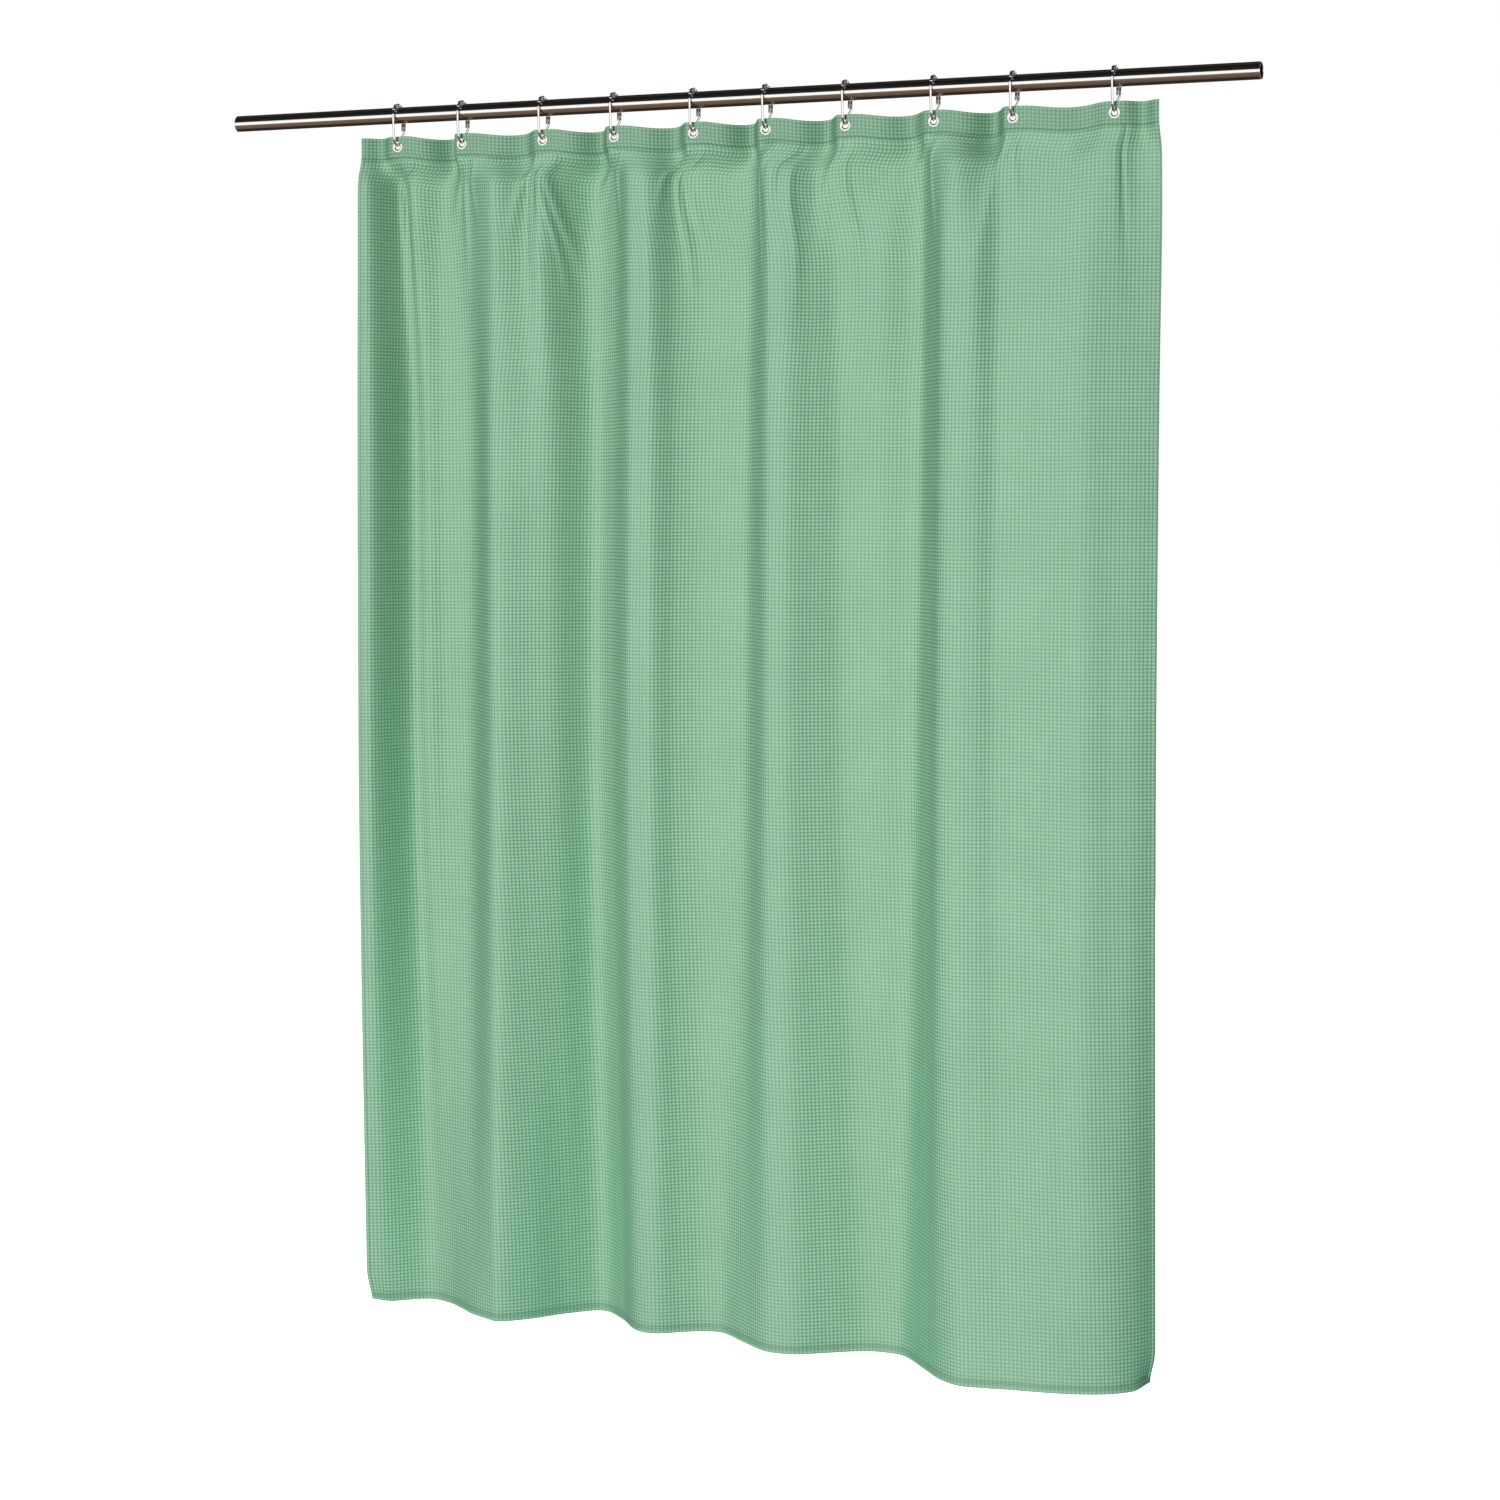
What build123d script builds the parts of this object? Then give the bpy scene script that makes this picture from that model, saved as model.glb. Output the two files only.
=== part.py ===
from build123d import *
import math
import os

# A waffle-weave shower curtain hung from a straight rod on ten roller-ball rings.
# Frame: origin on the rod's axis at its left end, +X along the rod, +Y away from the room, +Z up.
# All sizes are in millimetres.

# ---- Driving dimensions: the rod --------------------------------------------------
ROD_DIAMETER = 25.4
ROD_WALL = 1.0
ROD_BARE_LEFT = 221.0
ROD_BARE_RIGHT = 145.0

# ---- Driving dimensions: the cloth, as it is cut ----------------------------------
FLAT_WIDTH = 1524.0
FLAT_LENGTH = 1829.0
RING_COUNT = 10
CLOTH_THICKNESS = 1.2
HEADER_DEPTH = 35.0
HEADER_THICKNESS = 1.6
BOTTOM_HEM_DEPTH = 10.0
BOTTOM_HEM_THICKNESS = 2.4
SIDE_HEM_WIDTH = 6.0
SIDE_HEM_THICKNESS = 2.2

# How far each bay between two rings is drawn open, as a share of the eyelet pitch.
BAY_OPENNESS = (0.73, 0.90, 0.78, 0.85, 0.76, 0.82, 0.89, 0.78, 0.98)
EDGE_OPENNESS = 0.84

# The crests and valleys of the hanging folds along the hem: (share of the hung width, depth).
HEM_FOLDS = (
    (0.000, 7.0),
    (0.070, 57.0),
    (0.190, -23.0),
    (0.290, 97.0),
    (0.380, 2.0),
    (0.450, 47.0),
    (0.555, -28.0),
    (0.665, 37.0),
    (0.795, -88.0),
    (0.900, -70.0),
    (0.965, -43.0),
    (1.000, 12.0),
)
HEADER_EDGE_FOLD = 6.0
HEADER_FOLD_FULLNESS = 1.25
FLAT_BESIDE_EYELET = 3.0
FOLD_SAMPLES = 8
HEM_STEPS = 24

# ---- Driving dimensions: the rings ------------------------------------------------
WIRE_DIAMETER = 3.5
BALL_DIAMETER = 6.0
BALL_WIRE_CLEARANCE = 0.35
BALL_COUNT = 5
BALL_SPACING_ANGLE = 29.0
BALL_ROD_CLEARANCE = 0.3
RING_REACH_BELOW_ROD = 33.8
RING_FOOT_RADIUS = 13.0
RING_END_OVERLAP = 14.0
RING_END_GAP = 0.3
RING_JOG_LENGTH = 8.0
RING_JOG_RADIUS = 6.0

# ---- Driving dimensions: the eyelets ----------------------------------------------
EYELET_HOLE_DIAMETER = 8.0
EYELET_SHEET = 0.45
EYELET_FLANGE_WIDTH = 4.0
EYELET_LIP_WIDTH = 1.0
EYELET_WIRE_CLEARANCE = 0.6
WASHER_THICKNESS = 0.35
WASHER_PLAY = 0.05
CLOTH_EDGE_CLEARANCE = 0.35
CLOTH_ABOVE_EYELET = 8.1

# ---- Sizes that follow ------------------------------------------------------------
EYELET_PITCH = FLAT_WIDTH / RING_COUNT
BAY_WIDTHS = [share * EYELET_PITCH for share in BAY_OPENNESS]
EDGE_WIDTH = EDGE_OPENNESS * EYELET_PITCH / 2
HUNG_WIDTH = sum(BAY_WIDTHS) + 2 * EDGE_WIDTH
CLOTH_LEFT = ROD_BARE_LEFT
CLOTH_RIGHT = CLOTH_LEFT + HUNG_WIDTH
ROD_LENGTH = CLOTH_RIGHT + ROD_BARE_RIGHT
RING_X = [CLOTH_LEFT + EDGE_WIDTH + sum(BAY_WIDTHS[:ring]) for ring in range(RING_COUNT)]

ROD_RADIUS = ROD_DIAMETER / 2
WIRE_RADIUS = WIRE_DIAMETER / 2
BALL_RADIUS = BALL_DIAMETER / 2
BALL_BORE_RADIUS = WIRE_RADIUS + BALL_WIRE_CLEARANCE
RING_DROP = ROD_RADIUS + RING_REACH_BELOW_ROD
CROWN_RADIUS = ROD_RADIUS + BALL_ROD_CLEARANCE + BALL_RADIUS

EYELET_HOLE_RADIUS = EYELET_HOLE_DIAMETER / 2
EYELET_FLANGE_RADIUS = EYELET_HOLE_RADIUS + EYELET_FLANGE_WIDTH
FLAT_AROUND_EYELET = EYELET_FLANGE_RADIUS + FLAT_BESIDE_EYELET
EYELET_Z = -RING_DROP + WIRE_RADIUS + EYELET_WIRE_CLEARANCE - EYELET_HOLE_RADIUS
ROLL_INNER_RADIUS = HEADER_THICKNESS / 2 + CLOTH_EDGE_CLEARANCE + WASHER_THICKNESS + WASHER_PLAY
EYELET_ROLL_RADIUS = ROLL_INNER_RADIUS + EYELET_SHEET
ROLL_CENTRE_RADIUS = EYELET_HOLE_RADIUS + EYELET_ROLL_RADIUS

CLOTH_TOP = EYELET_Z + EYELET_FLANGE_RADIUS + CLOTH_ABOVE_EYELET
CLOTH_BOTTOM = CLOTH_TOP - FLAT_LENGTH
HEADER_BOTTOM = CLOTH_TOP - HEADER_DEPTH
HEM_TOP = CLOTH_BOTTOM + BOTTOM_HEM_DEPTH


def rod():
    """A straight tube, open at both ends for its wall brackets."""
    outside = Cylinder(ROD_RADIUS, ROD_LENGTH, rotation=(0, 90, 0))
    bore = Cylinder(ROD_RADIUS - ROD_WALL, ROD_LENGTH, rotation=(0, 90, 0))
    return Pos(ROD_LENGTH / 2, 0, 0) * (outside - bore)


def ring_wire():
    """One ring at X = 0: crown arc, two tapering legs, round foot, ends overlapping at the back."""
    foot_z = RING_FOOT_RADIUS - RING_DROP
    taper = math.asin((CROWN_RADIUS - RING_FOOT_RADIUS) / -foot_z)
    out, down = math.cos(taper), -math.sin(taper)
    crown_back = Vector(0, CROWN_RADIUS * out, CROWN_RADIUS * down)
    crown_front = Vector(0, -crown_back.Y, crown_back.Z)
    foot_back = Vector(0, RING_FOOT_RADIUS * out, foot_z + RING_FOOT_RADIUS * down)
    foot_front = Vector(0, -foot_back.Y, foot_back.Z)
    up_leg = (crown_back - foot_back).normalized()
    aside = Vector(WIRE_DIAMETER + RING_END_GAP, 0, 0)
    leg_start = foot_back + up_leg * RING_JOG_RADIUS / 2
    jog_end = leg_start + up_leg * RING_JOG_LENGTH + aside
    lower_end = jog_end + up_leg * RING_END_OVERLAP
    upper_end = jog_end + up_leg * RING_JOG_RADIUS / 2 - aside
    path = Wire(
        [
            Edge.make_line(upper_end, crown_back),
            Edge.make_three_point_arc(crown_back, Vector(0, 0, CROWN_RADIUS), crown_front),
            Edge.make_line(crown_front, foot_front),
            Edge.make_three_point_arc(foot_front, Vector(0, 0, -RING_DROP), foot_back),
            *FilletPolyline(
                foot_back, leg_start, jog_end, lower_end, radius=RING_JOG_RADIUS
            ).edges(),
        ]
    )
    section = Plane(origin=upper_end, z_dir=up_leg) * Circle(WIRE_RADIUS)
    wire = sweep(section, path=path)
    for tip in (upper_end, lower_end):
        wire += Pos(*tip) * Sphere(WIRE_RADIUS)
    return wire


def ball_set():
    """The five bored balls of one ring at X = 0, spread evenly over the crown."""
    ball = Sphere(BALL_RADIUS) - Cylinder(BALL_BORE_RADIUS, BALL_DIAMETER, rotation=(90, 0, 0))
    first_angle = -BALL_SPACING_ANGLE * (BALL_COUNT - 1) / 2
    angles = [first_angle + BALL_SPACING_ANGLE * index for index in range(BALL_COUNT)]
    return Compound([Rot(angle, 0, 0) * Pos(0, 0, CROWN_RADIUS) * ball for angle in angles])


def turned(profile_wire):
    """Turn a closed profile, drawn as (radius, Z), into a ring whose axis is Y at the eyelet's height."""
    solid = revolve(Plane.XZ * make_face(profile_wire), Axis.Z)
    return Pos(0, 0, EYELET_Z) * Rot(90, 0, 0) * solid


def eyelet():
    """A rolled eyelet at X = 0: flange to the room, half-round throat, lip behind the washer."""
    inner, outer = ROLL_INNER_RADIUS, EYELET_ROLL_RADIUS
    centre = ROLL_CENTRE_RADIUS
    edge = EYELET_FLANGE_RADIUS
    lip = centre + EYELET_LIP_WIDTH
    profile = Wire(
        [
            Edge.make_line((edge, inner), (edge, outer)),
            Edge.make_line((edge, outer), (centre, outer)),
            Edge.make_three_point_arc((centre, outer), (centre - outer, 0), (centre, -outer)),
            Edge.make_line((centre, -outer), (lip, -outer)),
            Edge.make_line((lip, -outer), (lip, -inner)),
            Edge.make_line((lip, -inner), (centre, -inner)),
            Edge.make_three_point_arc((centre, -inner), (centre - inner, 0), (centre, inner)),
            Edge.make_line((centre, inner), (edge, inner)),
        ]
    )
    return turned(profile)


def washer():
    """The flat ring behind the cloth that the eyelet's lip is rolled over."""
    inside = ROLL_CENTRE_RADIUS - EYELET_SHEET / 2
    back = -ROLL_INNER_RADIUS + WASHER_PLAY
    front = back + WASHER_THICKNESS
    corners = [
        (inside, back),
        (EYELET_FLANGE_RADIUS, back),
        (EYELET_FLANGE_RADIUS, front),
        (inside, front),
    ]
    return turned(Wire.make_polygon([Vector(*corner) for corner in corners], close=True))


def header_depth(x):
    """Depth of the top band at x: flat through every eyelet, one fold each way in every bay."""
    if x <= RING_X[0] - FLAT_AROUND_EYELET:
        share = (RING_X[0] - FLAT_AROUND_EYELET - x) / (EDGE_WIDTH - FLAT_AROUND_EYELET)
        return HEADER_EDGE_FOLD * math.sin(math.pi * share) ** 2
    if x >= RING_X[-1] + FLAT_AROUND_EYELET:
        share = (x - RING_X[-1] - FLAT_AROUND_EYELET) / (EDGE_WIDTH - FLAT_AROUND_EYELET)
        return HEADER_EDGE_FOLD * math.sin(math.pi * share) ** 2
    for left, width in zip(RING_X, BAY_WIDTHS):
        start = left + FLAT_AROUND_EYELET
        span = width - 2 * FLAT_AROUND_EYELET
        if start < x < start + span:
            spare = max(EYELET_PITCH / width - 1, 0)
            depth = HEADER_FOLD_FULLNESS * width / math.pi * math.sqrt(spare)
            share = (x - start) / span
            return -depth * math.sin(2 * math.pi * share) * math.sin(math.pi * share)
    return 0.0


def hem_line_length(scale):
    """Length of the hem's line when every fold's depth is multiplied by the scale."""
    total = 0.0
    for (start, here), (end, there) in zip(HEM_FOLDS, HEM_FOLDS[1:]):
        run = (end - start) * HUNG_WIDTH / HEM_STEPS
        rises = [math.cos(math.pi * index / HEM_STEPS) for index in range(HEM_STEPS + 1)]
        for left, right in zip(rises, rises[1:]):
            total += math.hypot(run, scale * (there - here) * (left - right) / 2)
    return total


def hem_scale():
    """The scale that makes the hem's line as long as the flat cloth is wide, by halving an interval."""
    low, high = 0.0, HUNG_WIDTH / EYELET_PITCH
    for _ in range(40):
        middle = (low + high) / 2
        if hem_line_length(middle) < FLAT_WIDTH:
            low = middle
        else:
            high = middle
    return low


def hem_depth(x):
    """Depth of the hem at x: an easing curve from each fold's crest to the next."""
    share = (x - CLOTH_LEFT) / HUNG_WIDTH
    for (start, here), (end, there) in zip(HEM_FOLDS, HEM_FOLDS[1:]):
        if share <= end:
            along = max(share - start, 0) / (end - start)
            return HEM_SCALE * (here + (there - here) * (1 - math.cos(math.pi * along)) / 2)
    return HEM_SCALE * HEM_FOLDS[-1][1]


HEM_SCALE = hem_scale()


def fold_stations(start, end):
    """The X places where the cloth's lines are set out, from start to end."""
    places = [start, end]
    for ring in RING_X:
        places += [ring - FLAT_AROUND_EYELET, ring, ring + FLAT_AROUND_EYELET]
    for left, width in zip(RING_X, BAY_WIDTHS):
        step = (width - 2 * FLAT_AROUND_EYELET) / FOLD_SAMPLES
        first = left + FLAT_AROUND_EYELET
        places += [first + step * index for index in range(1, FOLD_SAMPLES)]
    places += [(CLOTH_LEFT + RING_X[0]) / 2, (RING_X[-1] + CLOTH_RIGHT) / 2]
    return sorted(place for place in places if start <= place <= end)


def cloth_section(depth_at, z, thickness, start, end):
    """The face that a sheet of cloth cuts at height z, between two X places.

    Each line's slope at a station is the rise of its depth over the millimetre around it.
    """
    places = fold_stations(start, end)
    shares = [(x - start) / (end - start) for x in places]
    tangents = [Vector(1, depth_at(x + 0.5) - depth_at(x - 0.5), 0) for x in places]

    def line(offset):
        points = [Vector(x, depth_at(x) + offset, z) for x in places]
        return Edge.make_spline(points, tangents=tangents, parameters=shares)

    front, back = line(-thickness / 2), line(thickness / 2)
    right = Edge.make_line(front @ 1, back @ 1)
    left = Edge.make_line(front @ 0, back @ 0)
    return Face(Wire([front, right, back, left]))


def cloth_sheet(top_depth, top_z, bottom_depth, bottom_z, thickness, start, end):
    """A sheet of cloth between two lines, straight down from the upper one to the lower one."""
    upper = cloth_section(top_depth, top_z, thickness, start, end)
    lower = cloth_section(bottom_depth, bottom_z, thickness, start, end)
    return loft([upper, lower], ruled=True)


def header_band():
    """The doubled top band, with a hole for every eyelet."""
    band = cloth_sheet(
        header_depth,
        CLOTH_TOP,
        header_depth,
        HEADER_BOTTOM,
        HEADER_THICKNESS,
        CLOTH_LEFT,
        CLOTH_RIGHT,
    )
    reach = ROLL_INNER_RADIUS - CLOTH_EDGE_CLEARANCE
    throat = math.sqrt(reach**2 - (HEADER_THICKNESS / 2) ** 2)
    hole_radius = ROLL_CENTRE_RADIUS - throat
    hole = Cylinder(hole_radius, 4 * HEADER_THICKNESS, rotation=(90, 0, 0))
    for x in RING_X:
        band -= Pos(x, 0, EYELET_Z) * hole
    return band


def cloth_nodes():
    """The cloth: top band, main panel, two side hems and the bottom hem, edge to edge."""
    inner_left = CLOTH_LEFT + SIDE_HEM_WIDTH
    inner_right = CLOTH_RIGHT - SIDE_HEM_WIDTH
    body = (header_depth, HEADER_BOTTOM, hem_depth, HEM_TOP)
    foot = (hem_depth, HEM_TOP, hem_depth, CLOTH_BOTTOM)
    return {
        "header_band": header_band(),
        "curtain_panel": cloth_sheet(*body, CLOTH_THICKNESS, inner_left, inner_right),
        "left_hem": cloth_sheet(*body, SIDE_HEM_THICKNESS, CLOTH_LEFT, inner_left),
        "right_hem": cloth_sheet(*body, SIDE_HEM_THICKNESS, inner_right, CLOTH_RIGHT),
        "bottom_hem": cloth_sheet(*foot, BOTTOM_HEM_THICKNESS, CLOTH_LEFT, CLOTH_RIGHT),
    }


def ring_nodes():
    """Ring wires, ball sets, eyelets and washers, one of each at every ring."""
    shapes = {
        "ring_wire": ring_wire(),
        "ring_balls": ball_set(),
        "eyelet": eyelet(),
        "eyelet_washer": washer(),
    }
    nodes = {}
    for number, x in enumerate(RING_X, start=1):
        for name, shape in shapes.items():
            nodes[f"{name}_{number:02d}"] = Pos(x, 0, 0) * shape
    return nodes


def main():
    os.makedirs("parts", exist_ok=True)
    nodes = {"rod": rod(), **cloth_nodes(), **ring_nodes()}
    for name, shape in nodes.items():
        export_step(shape, f"parts/{name}.step")


main()
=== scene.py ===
"""Studio scene of a waffle-weave shower curtain hung from a straight rod on roller-ball rings.

Every length is in metres. The frame is the model's own: +X along the rod, +Y away from the
room, +Z up, with the origin on the rod's axis at its left end. A place on the flat cloth is
written (s, v): s is measured along the top edge from the left, v straight down from it.
"""

import logging
import math
from dataclasses import dataclass
from enum import Enum

import bpy
import numpy as np
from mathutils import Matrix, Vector

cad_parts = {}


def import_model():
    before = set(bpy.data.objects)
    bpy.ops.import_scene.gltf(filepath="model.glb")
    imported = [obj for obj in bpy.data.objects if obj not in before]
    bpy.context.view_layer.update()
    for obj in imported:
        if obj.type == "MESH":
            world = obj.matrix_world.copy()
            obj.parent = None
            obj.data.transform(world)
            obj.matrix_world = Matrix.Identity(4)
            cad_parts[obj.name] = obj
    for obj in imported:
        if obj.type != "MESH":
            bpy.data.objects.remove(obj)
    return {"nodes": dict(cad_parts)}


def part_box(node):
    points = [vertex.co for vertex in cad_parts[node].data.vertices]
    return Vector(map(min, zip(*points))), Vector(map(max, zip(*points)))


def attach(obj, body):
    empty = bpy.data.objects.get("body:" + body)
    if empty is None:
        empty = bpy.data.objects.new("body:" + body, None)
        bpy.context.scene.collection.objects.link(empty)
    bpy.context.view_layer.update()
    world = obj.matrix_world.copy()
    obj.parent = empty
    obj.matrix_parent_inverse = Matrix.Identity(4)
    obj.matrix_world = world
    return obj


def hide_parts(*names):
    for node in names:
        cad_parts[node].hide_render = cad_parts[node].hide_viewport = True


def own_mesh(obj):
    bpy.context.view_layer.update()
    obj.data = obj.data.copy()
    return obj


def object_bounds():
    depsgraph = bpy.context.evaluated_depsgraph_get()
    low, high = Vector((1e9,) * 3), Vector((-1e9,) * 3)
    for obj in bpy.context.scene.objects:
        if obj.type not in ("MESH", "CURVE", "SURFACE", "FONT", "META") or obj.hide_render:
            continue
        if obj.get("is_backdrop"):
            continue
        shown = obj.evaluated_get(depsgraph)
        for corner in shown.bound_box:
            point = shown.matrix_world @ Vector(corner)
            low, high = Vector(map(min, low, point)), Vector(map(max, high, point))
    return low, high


LOG = logging.getLogger("shower_curtain")
Array = np.ndarray
MM = 0.001
HALVINGS = 30


class Side(Enum):
    """The two side edges of the cloth."""

    LEFT = "left"
    RIGHT = "right"


# ---- Meshes from arrays -----------------------------------------------------------


def mesh_object(
    name: str, points: Array, quads: Array, uvs: Array | None = None, shade: Array | None = None
) -> bpy.types.Object:
    """Put an array of points and an array of quads into a new mesh object at the origin.

    Args:
        name: The piece's name.
        points: Vertex positions, one row of three numbers each.
        quads: Vertex numbers, one row of four each, turning anticlockwise seen from outside.
        uvs: Optional UV pair for every vertex.
        shade: Optional number for every vertex, kept as the attribute "steepness".

    Returns:
        The new object, linked to the scene.
    """
    mesh = bpy.data.meshes.new(name)
    count = len(quads)
    mesh.vertices.add(len(points))
    mesh.vertices.foreach_set("co", np.ascontiguousarray(points, np.float32).ravel())
    mesh.loops.add(4 * count)
    mesh.loops.foreach_set("vertex_index", np.ascontiguousarray(quads, np.int32).ravel())
    mesh.polygons.add(count)
    mesh.polygons.foreach_set("loop_start", np.arange(0, 4 * count, 4, dtype=np.int32))
    mesh.polygons.foreach_set("use_smooth", np.ones(count, dtype=bool))
    if uvs is not None:
        layer = mesh.uv_layers.new(name="UVMap")
        layer.data.foreach_set("uv", np.ascontiguousarray(uvs[quads.ravel()], np.float32).ravel())
    if shade is not None:
        kept = mesh.attributes.new("steepness", "FLOAT", "POINT")
        kept.data.foreach_set("value", np.ascontiguousarray(shade, np.float32).ravel())
    mesh.update(calc_edges=True)
    mesh.validate()
    made = bpy.data.objects.new(name, mesh)
    bpy.context.scene.collection.objects.link(made)
    return made


def grid_quads(rows: int, columns: int, closed_rows: bool = False, closed_columns: bool = False) -> Array:
    """Number the quads of a grid of points stored row by row.

    Args:
        rows: Number of rows of points.
        columns: Number of points in each row.
        closed_rows: Whether the last row joins the first.
        closed_columns: Whether each row's last point joins its first.

    Returns:
        One row of four vertex numbers for each quad.
    """
    r = np.arange(rows if closed_rows else rows - 1)[:, None]
    c = np.arange(columns if closed_columns else columns - 1)[None, :]
    r1, c1 = (r + 1) % rows, (c + 1) % columns
    corners = [r * columns + c, r * columns + c1, r1 * columns + c1, r1 * columns + c]
    return np.stack([np.broadcast_to(q, (r.size, c.size)) for q in corners], -1).reshape(-1, 4)


def smoothstep(value: Array | float, low: float, high: float) -> Array:
    """Ease from 0 at low to 1 at high, by three times the square less twice the cube."""
    t = np.clip((np.asarray(value, float) - low) / (high - low), 0, 1)
    return t * t * (3 - 2 * t)


def flowing(knots: Array, values: Array, places: Array) -> Array:
    """Read a smooth curve through knots at the given places.

    Between two knots the curve is the cubic whose slope at each knot is the slope between the
    knots on either side of it.

    Args:
        knots: Rising places of the knots.
        values: The curve's value at each knot; any further axes are carried along.
        places: Where to read it.

    Returns:
        One value for each place.
    """
    slopes = np.empty_like(values)
    gaps = np.diff(knots).reshape(-1, *([1] * (values.ndim - 1)))
    rises = np.diff(values, axis=0) / gaps
    slopes[0], slopes[-1] = rises[0], rises[-1]
    slopes[1:-1] = (values[2:] - values[:-2]) / (gaps[1:] + gaps[:-1])
    index = np.clip(np.searchsorted(knots, places, side="right") - 1, 0, len(knots) - 2)
    shape = (-1, *([1] * (values.ndim - 1)))
    width = (knots[index + 1] - knots[index]).reshape(shape)
    t = np.clip((places - knots[index]).reshape(shape) / width, 0, 1)
    cubic = (1 + 2 * t) * (1 - t) ** 2 * values[index] + t * t * (3 - 2 * t) * values[index + 1]
    return cubic + width * (t * (1 - t) ** 2 * slopes[index] - t * t * (1 - t) * slopes[index + 1])


# ---- Node helpers -----------------------------------------------------------------


@dataclass
class Graph:
    """The node tree of a material or a world, with short ways to add nodes."""

    owner: bpy.types.Material | bpy.types.World

    def __post_init__(self) -> None:
        """Start with an empty tree."""
        self.owner.use_nodes = True
        self.owner.node_tree.nodes.clear()

    @classmethod
    def new(cls, name: str) -> "Graph":
        """Start an empty node material."""
        return cls(bpy.data.materials.new(name))

    def node(self, kind: str, **settings: object) -> bpy.types.Node:
        """Add a node of the given kind and set its properties."""
        made = self.owner.node_tree.nodes.new(kind)
        for key, value in settings.items():
            setattr(made, key, value)
        return made

    def link(self, source: bpy.types.NodeSocket, target: bpy.types.NodeSocket) -> None:
        """Join an output socket to an input socket."""
        self.owner.node_tree.links.new(source, target)

    def math(self, operation: str, *values: object) -> bpy.types.NodeSocket:
        """Add a Math node on sockets or numbers.

        Args:
            operation: Blender's name for the operation.
            values: Its inputs, each an output socket or a number.

        Returns:
            The node's result.
        """
        made = self.node("ShaderNodeMath", operation=operation)
        for socket, value in zip(made.inputs, values):
            if isinstance(value, bpy.types.NodeSocket):
                self.link(value, socket)
            else:
                socket.default_value = value
        return made.outputs[0]

    def mix(self, share: object, first: object, second: object) -> bpy.types.NodeSocket:
        """Mix two colours.

        Args:
            share: The second colour's share, a socket or a number.
            first: A colour socket or an RGB triple.
            second: A colour socket or an RGB triple.

        Returns:
            The mixed colour.
        """
        made = self.node("ShaderNodeMix", data_type="RGBA")
        for socket, value in zip((made.inputs[0], made.inputs[6], made.inputs[7]), (share, first, second)):
            if isinstance(value, bpy.types.NodeSocket):
                self.link(value, socket)
            elif isinstance(value, (int, float)):
                socket.default_value = value
            else:
                socket.default_value = (*value, 1.0)
        return made.outputs[2]

    def noise(self, coordinates: bpy.types.NodeSocket, scale: float, detail: float) -> bpy.types.NodeSocket:
        """Add smooth noise of the given scale and return its value."""
        made = self.node("ShaderNodeTexNoise")
        made.inputs["Scale"].default_value = scale
        made.inputs["Detail"].default_value = detail
        self.link(coordinates, made.inputs["Vector"])
        return made.outputs["Fac"]

    def finish(self, shader: bpy.types.Node) -> bpy.types.Material | bpy.types.World:
        """Send the shader to the tree's output and return the material or world."""
        kind = "World" if isinstance(self.owner, bpy.types.World) else "Material"
        output = self.node(f"ShaderNodeOutput{kind}")
        self.link(shader.outputs[0], output.inputs["Surface"])
        return self.owner


# ---- Finishes ---------------------------------------------------------------------


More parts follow.
